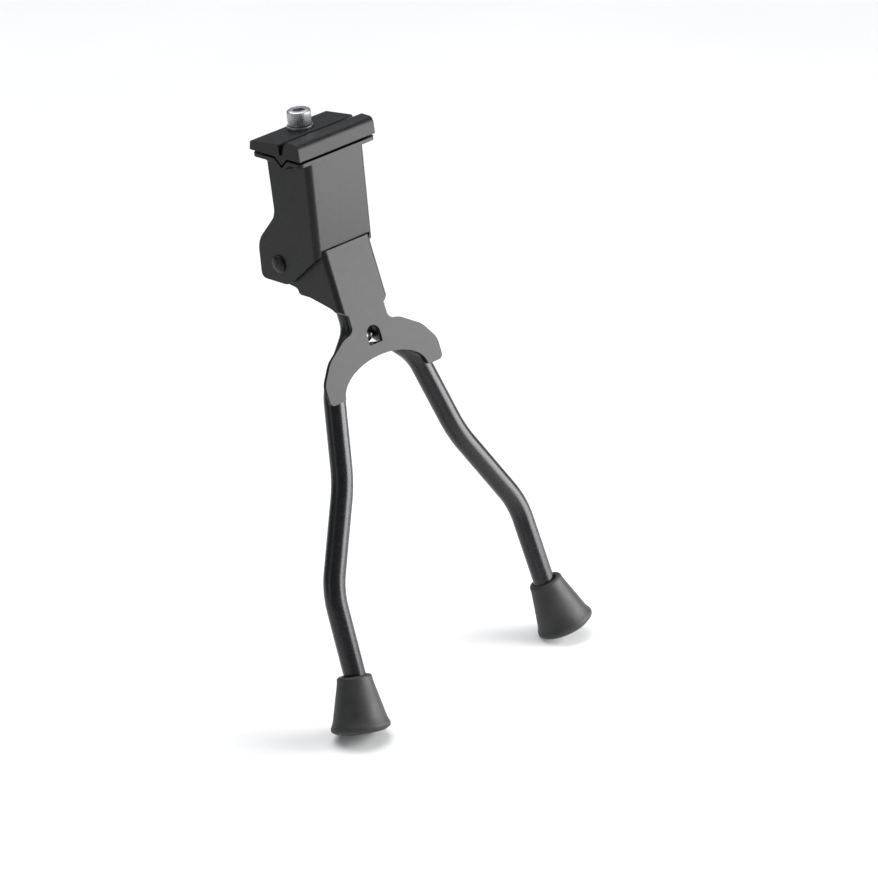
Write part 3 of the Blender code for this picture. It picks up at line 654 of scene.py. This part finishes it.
def seat_sheet():
    under = -SEAT_THICKNESS
    shoulder = SEAT_THICKNESS * 0.46
    profile = rounded([
        (SEAT_FRONT, 0.0, 0.0),
        (SEAT_FRONT, under, 0.0),
        (GROOVE_FRONT - shoulder, under, 1.6 * MM),
        (GROOVE_BOTTOM, under - GROOVE_DEPTH, 1.6 * MM),
        (GROOVE_REAR + shoulder, under, 1.6 * MM),
        (SEAT_REAR, under, 0.0),
        (SEAT_REAR, 0.0, 0.0),
        (GROOVE_REAR, 0.0, 1.0 * MM),
        (GROOVE_BOTTOM, -GROOVE_DEPTH, 0.8 * MM),
        (GROOVE_FRONT, 0.0, 1.0 * MM),
    ])
    piece = side_blank("seat_sheet", profile, -PLATE_HALF_WIDTH, PLATE_HALF_WIDTH)
    plan = rounded([
        (-PLATE_HALF_WIDTH, SEAT_FRONT, PLATE_CORNER),
        (PLATE_HALF_WIDTH, SEAT_FRONT, PLATE_CORNER),
        (PLATE_HALF_WIDTH, SEAT_REAR, PLATE_CORNER),
        (-PLATE_HALF_WIDTH, SEAT_REAR, PLATE_CORNER),
    ])
    boolean(piece, plan_blank("plan", plan, -12 * MM, 20 * MM), "INTERSECT")
    boolean(piece, plan_blank("bolt_hole", disc(HOLE_RADIUS), -12 * MM, 14 * MM))
    edge_break(piece, 0.3 * MM)
    return settle(piece, "bracket", PAINT, "black_paint", "seat_plate")


# ---------------------------------------------------------------- bracket

def channel_section(half_width, sheet, bend, front, rear):
    inner = half_width - sheet
    return rounded([
        (-half_width, front, bend),
        (half_width, front, bend),
        (half_width, rear, 0.0),
        (inner, rear, 0.0),
        (inner, front + sheet, bend - sheet),
        (-inner, front + sheet, bend - sheet),
        (-inner, rear, 0.0),
        (-half_width, rear, 0.0),
    ])


def bracket_shell():
    top = -SEAT_THICKNESS - FIT
    section = channel_section(BRACKET_HALF_WIDTH, BRACKET_SHEET, BRACKET_BEND, BRACKET_FRONT, 24 * MM)
    piece = plan_blank("bracket_shell", section, CHEEK_BOTTOM - MM, 0.0)
    shoulder = SEAT_THICKNESS * 0.46
    side = rounded([
        (BRACKET_FRONT - 2 * MM, top, 0.0),
        (BRACKET_FRONT - 2 * MM, -54.3 * MM, 0.0),
        (BRACKET_FRONT + 0.5 * MM, -55.6 * MM, 2.0 * MM),
        (-1.5 * MM, CHEEK_BOTTOM, 11.0 * MM),
        (CHEEK_REAR, CHEEK_BOTTOM, 3.5 * MM),
        (CHEEK_REAR, -54.7 * MM, 15.0 * MM),
        (CHEEK_WAIST - 0.9 * MM, -37.0 * MM, 11.0 * MM),
        (CHEEK_WAIST + 0.8 * MM, top, 0.0),
        (GROOVE_REAR + shoulder + 0.6 * MM, top, 0.0),
        (GROOVE_BOTTOM, top - GROOVE_DEPTH - 0.3 * MM, 1.8 * MM),
        (GROOVE_FRONT - shoulder - 0.6 * MM, top, 0.0),
    ])
    boolean(piece, side_blank("cheek_outline", side, -24 * MM, 24 * MM), "INTERSECT")
    half = YOKE_HALF_WIDTH + 0.4 * MM
    relief_loop = [
        (-half, -60 * MM), (half, -60 * MM), (half, BRACKET_WALL_BOTTOM), (-half, BRACKET_WALL_BOTTOM),
    ]
    boolean(piece, front_blank("wall_end", [relief_loop], -32 * MM, -20 * MM))
    hole = side_blank("rivet_hole", disc(RIVET_RADIUS + FIT, 48, (PIVOT_Y, PIVOT_Z)), -24 * MM, 24 * MM)
    boolean(piece, hole)
    edge_break(piece, 0.35 * MM)
    return settle(piece, "bracket", PAINT, "black_paint", "bracket_channel")


def seat_beads():
    radius = SEAT_BEAD_RADIUS
    x = BRACKET_HALF_WIDTH + FIT + radius
    z = -SEAT_THICKNESS - FIT - radius
    for side, sign in SIDES:
        path = [Vector((sign * x, (-5.5 + 9.0 * k / 40) * MM, z)) for k in range(41)]
        piece = sweep_tube(
            "seat_bead_" + side, path,
            lambda t: radius * lumps(t, BEAD_LUMPS, BEAD_LUMP_DEPTH), 16,
        )
        settle(piece, "bracket", PAINT, "black_paint", "seat_weld_" + side)


def rivets():
    face = BRACKET_HALF_WIDTH + FIT
    inner = YOKE_HALF_WIDTH - YOKE_SHEET - FIT
    collar = inner - RIVET_WASHER - FIT
    for side, sign in SIDES:
        rows = [(0, face + RIVET_HEAD_HEIGHT * 0.96)]
        for step in range(1, 13):
            angle = math.radians(90 - 7.5 * step)
            lift = 0.15 + 0.81 * math.sin(angle) ** 1.15
            rows.append((RIVET_HEAD_RADIUS * math.cos(angle), face + RIVET_HEAD_HEIGHT * lift))
        rows += [
            (RIVET_HEAD_RADIUS, face),
            (RIVET_RADIUS, face),
            (RIVET_RADIUS, collar),
            (RIVET_RADIUS + 1.1 * MM, collar),
            (RIVET_RADIUS + 1.2 * MM, collar - 0.3 * MM),
            (RIVET_RADIUS + 0.8 * MM, RIVET_INNER + 0.25 * MM),
            (RIVET_RADIUS - 0.4 * MM, RIVET_INNER),
            (RIVET_RADIUS - 1.4 * MM, RIVET_INNER + 0.35 * MM),
            (0, RIVET_INNER + 0.45 * MM),
        ]
        ring = [
            (RIVET_RADIUS + FIT, inner - 0.15 * MM),
            (RIVET_RADIUS + 0.5 * MM, inner),
            (RIVET_HEAD_RADIUS + 0.4 * MM, inner),
            (RIVET_HEAD_RADIUS + 0.6 * MM, inner - 0.2 * MM),
            (RIVET_HEAD_RADIUS + 0.6 * MM, inner - RIVET_WASHER + 0.2 * MM),
            (RIVET_HEAD_RADIUS + 0.4 * MM, inner - RIVET_WASHER),
            (RIVET_RADIUS + 0.5 * MM, inner - RIVET_WASHER),
            (RIVET_RADIUS + FIT, inner - RIVET_WASHER + 0.15 * MM),
            (RIVET_RADIUS + FIT, inner - 0.15 * MM),
        ]
        turn = Matrix.Translation((0.0, PIVOT_Y, PIVOT_Z)) @ Matrix.Rotation(sign * math.pi / 2, 4, "Y")
        for name, profile, node, look in (
            ("rivet_", rows, "pivot_rivet_", PAINT), ("rivet_ring_", ring, "rivet_washer_", STEEL),
        ):
            piece = lathe(name + side, profile, 64)
            piece.data.transform(turn)
            settle(piece, "bracket", look, "dark_steel", node + side)


def anchor_pin():
    reach = BRACKET_HALF_WIDTH - BRACKET_SHEET - FIT
    piece = lathe("anchor_pin", [
        (0, reach), (ANCHOR_RADIUS - 0.3 * MM, reach), (ANCHOR_RADIUS, reach - 0.3 * MM),
        (ANCHOR_RADIUS, 2.4 * MM), (ANCHOR_RADIUS - 0.12 * MM, 1.6 * MM),
        (ANCHOR_RADIUS - 0.12 * MM, -1.6 * MM), (ANCHOR_RADIUS, -2.4 * MM),
        (ANCHOR_RADIUS, 0.3 * MM - reach), (ANCHOR_RADIUS - 0.3 * MM, -reach), (0, -reach),
    ], 48)
    turn = Matrix.Rotation(math.pi / 2, 4, "Y")
    piece.data.transform(Matrix.Translation((0.0, PIVOT_Y, PIVOT_Z + ANCHOR_RISE)) @ turn)
    return settle(piece, "bracket", STEEL, "dark_steel", "spring_anchor_bar")


# ------------------------------------------------------------------- legs

def yoke_cheek_outline():
    front = YOKE_FRONT
    outline = [(front - 2 * MM, YOKE_TOP, 0.0), (front + 6 * MM, YOKE_TOP, 0.0)]
    steps = 16
    for step in range(steps + 1):
        angle = math.radians(105) - math.radians(108.7) * step / steps
        outline.append((EYE_RADIUS * math.cos(angle), EYE_RADIUS * math.sin(angle), 0.0))
    nose = math.radians(-3.7)
    outline.append((NOSE_RADIUS * math.cos(nose), NOSE_RADIUS * math.sin(nose), 0.6 * MM))
    outline += [
        (13.3 * MM, -6.4 * MM, 1.2 * MM),
        (8.5 * MM, -9.6 * MM, 1.8 * MM),
        (3.0 * MM, -11.6 * MM, 1.8 * MM),
        (-3.6 * MM, -14.6 * MM, 0.6 * MM),
        (-4.9 * MM, -15.8 * MM, 0.6 * MM),
        (-5.3 * MM, -18.0 * MM, 0.6 * MM),
        (-6.6 * MM, -19.2 * MM, 0.6 * MM),
        (-13.0 * MM, -21.0 * MM, 4.0 * MM),
        (-21.5 * MM, -25.2 * MM, 4.0 * MM),
        (-28.6 * MM, -29.0 * MM, 1.2 * MM),
        (front + 4.2 * MM, -31.2 * MM, 0.6 * MM),
        (front + YOKE_SHEET, YOKE_TOP - CHANNEL_END - 0.5 * MM, 0.0),
        (front - 2 * MM, YOKE_TOP - CHANNEL_END - 0.5 * MM, 0.0),
    ]
    return rounded(outline, math.radians(15))


def wishbone_outline():
    top = YOKE_TOP
    half = [
        (NECK_HALF_WIDTH, 31.5 * MM, 0.0),
        (NECK_HALF_WIDTH, 46.2 * MM, 4.0 * MM),
        (20.5 * MM, 48.2 * MM, 10.0 * MM),
        (33.8 * MM, 56.6 * MM, 12.0 * MM),
        (ARM_HALF_WIDTH, 67.0 * MM, 9.0 * MM),
        (ARM_HALF_WIDTH, ARM_END, 3.0 * MM),
    ]
    right = [(x, top - down, radius) for x, down, radius in half]
    arch = []
    steps = 48
    for step in range(steps + 1):
        angle = math.radians(6) + math.radians(168) * step / steps
        rise = (ARM_END - ARCH_TOP) * math.sin(angle)
        arch.append((ARCH_HALF_WIDTH * math.cos(angle), top - ARM_END + rise, 0.0))
    foot_of_arch = [(ARCH_HALF_WIDTH + 0.4 * MM, top - ARM_END, 1.2 * MM)]
    left_foot = [(-ARCH_HALF_WIDTH - 0.4 * MM, top - ARM_END, 1.2 * MM)]
    left = [(-x, z, radius) for x, z, radius in reversed(right)]
    return rounded(right + foot_of_arch + arch + left_foot + left)


def yoke_shell():
    front = YOKE_FRONT
    top = YOKE_TOP
    section = channel_section(YOKE_HALF_WIDTH, YOKE_SHEET, YOKE_BEND, front, 18 * MM)
    piece = plan_blank("yoke_shell", section, top - CHANNEL_END - 4 * MM, 14 * MM)
    boolean(piece, side_blank("cheeks", yoke_cheek_outline(), -20 * MM, 20 * MM), "INTERSECT")
    end = rounded([
        (-YOKE_HALF_WIDTH - MM, 16 * MM, 0.0),
        (YOKE_HALF_WIDTH + MM, 16 * MM, 0.0),
        (YOKE_HALF_WIDTH + MM, top - CHANNEL_END + 4.5 * MM, 1.5 * MM),
        (NECK_HALF_WIDTH + 0.6 * MM, top - CHANNEL_END, 2.0 * MM),
        (-NECK_HALF_WIDTH - 0.6 * MM, top - CHANNEL_END, 2.0 * MM),
        (-YOKE_HALF_WIDTH - MM, top - CHANNEL_END + 4.5 * MM, 1.5 * MM),
    ])
    boolean(piece, front_blank("channel_end", [end], front - 3 * MM, 20 * MM), "INTERSECT")
    radius = HOOK_HOLE_HALF_WIDTH
    hook_hole = rounded([
        (-radius, top - HOOK_HOLE_BOTTOM, 0.8 * MM),
        (radius, top - HOOK_HOLE_BOTTOM, 0.8 * MM),
        (radius, top - HOOK_HOLE_TOP, radius * 0.98),
        (-radius, top - HOOK_HOLE_TOP, radius * 0.98),
    ])
    loops = [wishbone_outline(), hook_hole]
    boolean(piece, front_blank("wishbone", loops, front, front + YOKE_SHEET), "UNION")
    tongue_top = top - HOOK_HOLE_BOTTOM
    tongue = rounded([
        (-TONGUE_HALF_WIDTH, front + 0.4 * YOKE_SHEET, 0.0),
        (TONGUE_HALF_WIDTH, front + 0.4 * YOKE_SHEET, 0.0),
        (TONGUE_HALF_WIDTH, front + TONGUE_REACH, 2.5 * MM),
        (-TONGUE_HALF_WIDTH, front + TONGUE_REACH, 2.5 * MM),
    ])
    boolean(piece, plan_blank("tongue", tongue, tongue_top - TONGUE_THICKNESS, tongue_top), "UNION")
    boolean(piece, side_blank("eye", disc(RIVET_RADIUS + FIT, 48), -24 * MM, 24 * MM))
    edge_break(piece, 0.32 * MM)
    piece.data.transform(YOKE_FRAME)
    return settle(piece, "legs", PAINT, "black_paint", "leg_yoke")


def rod_corners(sign):
    plan = [
        (6.15, 34.5, 0.0),
        (6.15, 47.0, 16.0),
        (30.3, 72.2, 30.0),
        (42.4, 121.1, 75.0),
        (69.4, 172.3, 45.0),
        (72.8, 239.5, 0.0),
    ]
    return [(sign * x * MM, ROD_PLANE, YOKE_TOP - down * MM, radius * MM) for x, down, radius in plan]


def leg_tubes():
    for side, sign in SIDES:
        path = bent_path(rod_corners(sign), stride=2.0 * MM)
        rod = sweep_tube("leg_bar_" + side, path, ROD_RADIUS, 48, caps=0.5 * MM)
        rod.data.transform(YOKE_FRAME)
        settle(rod, "legs", ROD_PAINT, "black_paint", "leg_rod_" + side)
        bead_radius = ROD_BEAD_RADIUS
        inset = ROD_RADIUS - FIT - bead_radius
        aside = math.sqrt((ROD_RADIUS + FIT + bead_radius) ** 2 - inset ** 2)
        y = YOKE_FRONT + YOKE_SHEET + FIT + bead_radius
        fine = bent_path(rod_corners(sign), stride=0.3 * MM)
        points = [point for point in fine if -72 * MM < point.z < -60.5 * MM]
        bead_path = []
        for here, following in zip(points, points[1:]):
            along = (following - here).normalized()
            outward = Vector((-along.z, 0.0, along.x)) * sign
            bead_path.append(Vector((here.x, y, here.z)) + outward * aside)
        bead = sweep_tube(
            "rod_bead_" + side, bead_path,
            lambda t: ROD_BEAD_RADIUS * lumps(t, BEAD_LUMPS, BEAD_LUMP_DEPTH), 16,
        )
        bead.data.transform(YOKE_FRAME)
        settle(bead, "legs", PAINT, "black_paint", "rod_weld_" + side)


def rubber_foot(side, sign):
    top_r = FOOT_TOP_RADIUS
    low_r = FOOT_BOTTOM_RADIUS
    length = FOOT_LENGTH
    bore = ROD_RADIUS + 0.1 * MM
    rows = [
        (0, -20.0 * MM),
        (bore, -20.0 * MM),
        (bore, -0.9 * MM),
        (bore + 0.5 * MM, -0.15 * MM),
        (bore + 1.1 * MM, 0.0),
        (top_r - 1.5 * MM, 0.0),
        (top_r - 0.7 * MM, -0.25 * MM),
        (top_r - 0.15 * MM, -0.9 * MM),
        (top_r, -1.8 * MM),
        (top_r + 0.05 * MM, -2.6 * MM),
        (top_r + 0.25 * MM, -3.6 * MM),
    ]
    start = Vector((top_r + 0.9 * MM, -6.5 * MM))
    end = Vector((low_r - 1.5 * MM, -length + 6.0 * MM))
    for step in range(9):
        spot = start.lerp(end, step / 8)
        rows.append((spot.x, spot.y))
    rows += [
        (low_r - 0.9 * MM, -length + 4.4 * MM),
        (low_r - 0.45 * MM, -length + 3.5 * MM),
        (low_r - 0.08 * MM, -length + 2.8 * MM),
        (low_r, -length + 2.1 * MM),
        (low_r - 0.1 * MM, -length + 1.2 * MM),
        (low_r - 0.5 * MM, -length + 0.5 * MM),
        (low_r - 1.3 * MM, -length),
    ]
    for ring in range(4):
        outer = low_r - (2.4 + 3.0 * ring) * MM
        rows += [
            (outer, -length - SOLE_CROWN),
            (outer - 0.3 * MM, -length + 0.3 * MM),
            (outer - 1.3 * MM, -length + 0.3 * MM),
            (outer - 1.6 * MM, -length - SOLE_CROWN),
        ]
    rows.append((0, -length - SOLE_CROWN))
    piece = lathe("foot_" + side, rows, 96)
    hang = Matrix.Translation((sign * FOOT_TOP_X, ROD_PLANE, YOKE_TOP - FOOT_TOP_DOWN))
    piece.data.transform(YOKE_FRAME @ hang @ Matrix.Rotation(-sign * FOOT_SPLAY, 4, "Y"))
    return settle(piece, "legs", RUBBER, "rubber", "rubber_foot_" + side)


# ----------------------------------------------------------------- spring

def glide(start, start_pull, end, end_pull, count):
    points = []
    for step in range(1, count):
        t = step / count
        keep = 2 * t ** 3 - 3 * t ** 2 + 1
        leave = t ** 3 - 2 * t ** 2 + t
        reach = -2 * t ** 3 + 3 * t ** 2
        arrive = t ** 3 - t ** 2
        points.append(start * keep + start_pull * leave + end * reach + end_pull * arrive)
    return points


def pull_spring():
    seat = Vector((ROD_PLANE + HOOK_BEHIND_RODS, YOKE_TOP - CROTCH_DOWN + HOOK_RADIUS))
    seat.rotate(Matrix.Rotation(-LEAN, 2))
    reach = seat.length + ANCHOR_RISE + 0.1 * MM
    shank = math.sqrt(reach ** 2 - HOOK_RADIUS ** 2)
    swing = math.atan2(-seat.x, ANCHOR_RISE - seat.y) - math.asin(HOOK_RADIUS / reach)
    ring = ANCHOR_RADIUS + FIT + 0.3 * MM + SPRING_WIRE
    path = []
    for step in range(25):
        angle = math.radians(-50 + 295 * step / 24)
        path.append(Vector((0.0, ring * math.cos(angle), ring * math.sin(angle))))
    coil = []
    steps = 24 * SPRING_TURNS
    for step in range(steps + 1):
        share = step / steps
        angle = math.pi + TURN * SPRING_TURNS * share
        drop = COIL_TOP + (COIL_BOTTOM - COIL_TOP) * share
        coil.append(Vector((
            SPRING_MEAN_RADIUS * math.sin(angle),
            SPRING_MEAN_RADIUS * math.cos(angle),
            -drop,
        )))
    leave = (path[-1] - path[-2]).normalized() * 6 * MM
    arrive = (coil[1] - coil[0]).normalized() * 6 * MM
    path += glide(path[-1].copy(), leave, coil[0], arrive, 10) + coil
    shank_top = Vector((0.0, 0.0, -COIL_BOTTOM - SHANK_BEND))
    leave = (coil[-1] - coil[-2]).normalized() * 8 * MM
    path += glide(coil[-1], leave, shank_top, Vector((0.0, 0.0, -8 * MM)), 12)
    path.append(shank_top)
    hook_steps = 32
    for step in range(hook_steps + 1):
        angle = HOOK_SWEEP * step / hook_steps
        path.append(Vector((
            0.0, HOOK_RADIUS * (math.cos(angle) - 1), -shank - HOOK_RADIUS * math.sin(angle),
        )))
    piece = sweep_tube("pull_spring", path, SPRING_WIRE, 16, caps=0.2 * MM)
    place = Matrix.Translation((0.0, PIVOT_Y, PIVOT_Z + ANCHOR_RISE))
    piece.data.transform(place @ Matrix.Rotation(-swing, 4, "X"))
    return settle(piece, "spring", SPRING_STEEL, "dark_steel", "over_centre_spring")


# ------------------------------------------------------------------ studio

def studio_floor(height):
    """Seamless pale floor with a faint mottle."""
    material, tree, shader = shader_graph("studio_floor", (0.86, 0.86, 0.86), 0.65, 0.0, 0.3)
    clouds = speckle(tree, object_space(tree), 3.0, 3.0)
    mottle = two_tone(tree, clouds, (0.85, 0.85, 0.85), (0.88, 0.88, 0.88))
    tree.links.new(mottle, shader.inputs["Base Color"])
    shell = bmesh.new()
    bmesh.ops.create_circle(shell, cap_ends=True, segments=96, radius=9.0)
    mesh = bpy.data.meshes.new("studio_floor")
    shell.to_mesh(mesh)
    shell.free()
    floor = new_object("studio_floor", mesh)
    floor.location = (0.0, 0.0, height)
    mesh.materials.append(material)


def soft_box(name, place, aim, width, height, watts, colour=(1.0, 1.0, 1.0)):
    data = bpy.data.lights.new(name, "AREA")
    data.shape = "RECTANGLE"
    data.size = width
    data.size_y = height
    data.energy = watts
    data.color = colour
    light = bpy.data.objects.new(name, data)
    light.location = place
    light.rotation_euler = (Vector(aim) - Vector(place)).to_track_quat("-Z", "Y").to_euler()
    light.visible_camera = False
    bpy.context.scene.collection.objects.link(light)
    return light


def studio():
    low = cad_box[0].z
    studio_floor(low - 0.5 * MM)
    centre = (0.0, -0.02, -0.14)
    soft_box("front_panel", (0.38, -0.46, -0.09), (0.0, -0.02, -0.07), 0.5, 0.36, 5.6)
    soft_box("key", (1.25, -1.60, 0.50), centre, 1.3, 0.8, 18)
    soft_box("overhead", (0.3, 0.9, 2.6), (0.2, 0.3, low), 3.4, 3.4, 105)
    soft_box("left_fill", (-1.9, 0.2, 0.4), centre, 0.5, 1.2, 2)
    world = bpy.data.worlds.new("studio_air")
    world.use_nodes = True
    background = world.node_tree.nodes["Background"]
    background.inputs["Color"].default_value = (0.9, 0.94, 1.0, 1.0)
    background.inputs["Strength"].default_value = 0.24
    bpy.context.scene.world = world
    bpy.context.scene.view_settings.view_transform = "Standard"


def camera():
    data = bpy.data.cameras.new("camera")
    data.sensor_width = 36.0
    data.lens = 184.67
    data.shift_x = 0.0011
    data.shift_y = -0.0137
    data.clip_start = 0.05
    data.clip_end = 60.0
    lens = bpy.data.objects.new("camera", data)
    right = Vector((0.717745, -0.690853, -0.086972))
    above = Vector((0.331169, 0.228819, 0.915406))
    behind = Vector((-0.612510, -0.685831, 0.393023))
    turn = Matrix((right, above, behind)).transposed().to_4x4()
    lens.matrix_world = Matrix.Translation((-1.46774, -1.73068, 0.79914)) @ turn
    bpy.context.scene.collection.objects.link(lens)
    bpy.context.scene.camera = lens


upper_plate()
washer()
cap_screw()
hex_nut()
seat_sheet()
bracket_shell()
seat_beads()
rivets()
anchor_pin()
yoke_shell()
leg_tubes()
for foot_side, foot_sign in SIDES:
    rubber_foot(foot_side, foot_sign)
pull_spring()
studio()
camera()
